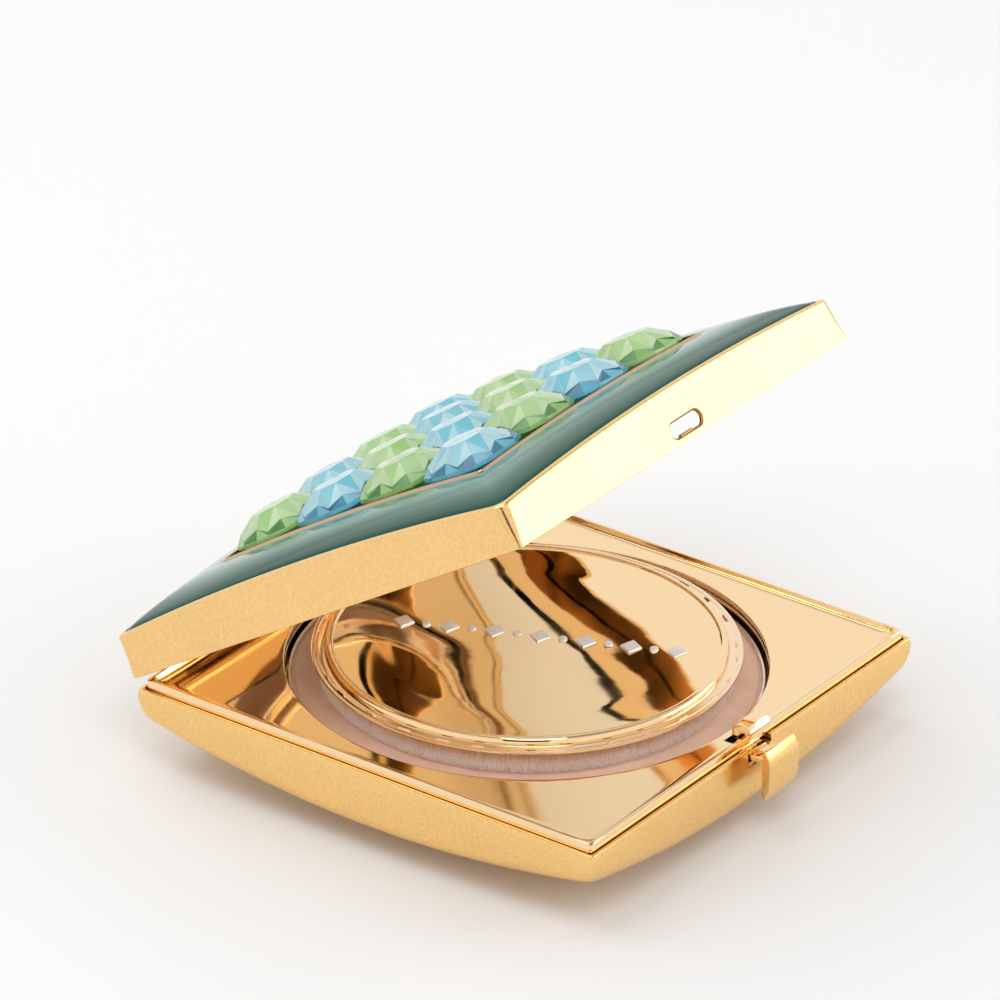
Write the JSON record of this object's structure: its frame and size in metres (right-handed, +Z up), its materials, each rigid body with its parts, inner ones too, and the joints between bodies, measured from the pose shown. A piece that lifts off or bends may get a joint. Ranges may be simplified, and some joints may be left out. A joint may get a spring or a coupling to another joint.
{
  "type": "powder compact",
  "caption": "Square powder compact with a hinged crystal-set lid, a mirror inside it, a sprung latch, a powder pan and a turning puff.",
  "frame": {"origin": "middle of the flat under the base, on the surface that it stands on", "axes": "+Z up, -Y towards the latch, +Y towards the hinge"},
  "size_m": [0.066, 0.0731, 0.0529],
  "materials": {
    "satin_gold": "satin gold plate",
    "bright_gold": "bright gold plate",
    "tin": "plain",
    "powder": "pressed powder",
    "steel": "plain",
    "bright_foil": "metallised film",
    "velour": "short pile",
    "enamel": "gloss enamel",
    "mirror": "silvered glass",
    "card": "grey board",
    "crystal_green": "cut crystal",
    "crystal_blue": "cut crystal"
  },
  "bodies": {
    "base": {"base_shell": "satin_gold", "inner_tray": "bright_gold", "powder_pan": "tin", "powder_cake": "powder", "latch_bracket": "bright_gold", "latch_pin": "steel", "latch_spring": "steel", "hinge_base_leaf": "satin_gold", "hinge_pin": "steel"},
    "puff": {"puff_pile": "velour", "puff_cover": "bright_foil"},
    "latch": {"catch_hook": "bright_gold", "thumb_piece": "satin_gold"},
    "lid": {"enamel_border": "enamel", "gem_1_1_blue": "crystal_blue", "gem_1_2_green": "crystal_green", "gem_1_3_blue": "crystal_blue", "gem_1_4_green": "crystal_green", "gem_2_1_green": "crystal_green", "gem_2_2_blue": "crystal_blue", "gem_2_3_green": "crystal_green", "gem_2_4_blue": "crystal_blue", "gem_3_1_blue": "crystal_blue", "gem_3_2_green": "crystal_green", "gem_3_3_blue": "crystal_blue", "gem_3_4_green": "crystal_green", "gem_4_1_green": "crystal_green", "gem_4_2_blue": "crystal_blue", "gem_4_3_green": "crystal_green", "gem_4_4_blue": "crystal_blue", "gem_bezel": "bright_gold", "gem_tray": "bright_gold", "hinge_lid_leaf": "satin_gold", "lid_shell": "satin_gold", "mirror_frame": "bright_gold", "mirror_glass": "mirror", "mirror_pad": "card"}
  },
  "joints": [
    {"name": "lid_hinge", "type": "hinge", "parent": "base", "child": "lid", "pos_m": [0, 0.0345, 0.01085], "axis": [-1, 0, 0], "range_deg": [-32.6, 82.4]},
    {"name": "latch_rock", "type": "hinge", "parent": "base", "child": "latch", "pos_m": [0.0009, -0.0311, 0.0093], "axis": [-1, 0, 0], "range_deg": [0, 12], "stiffness_Nm_per_rad": 0.03},
    {"name": "puff_turn", "type": "hinge", "parent": "base", "child": "puff", "pos_m": [0, 0, 0.0107], "axis": [0, 0, 1], "continuous": true}
  ]
}
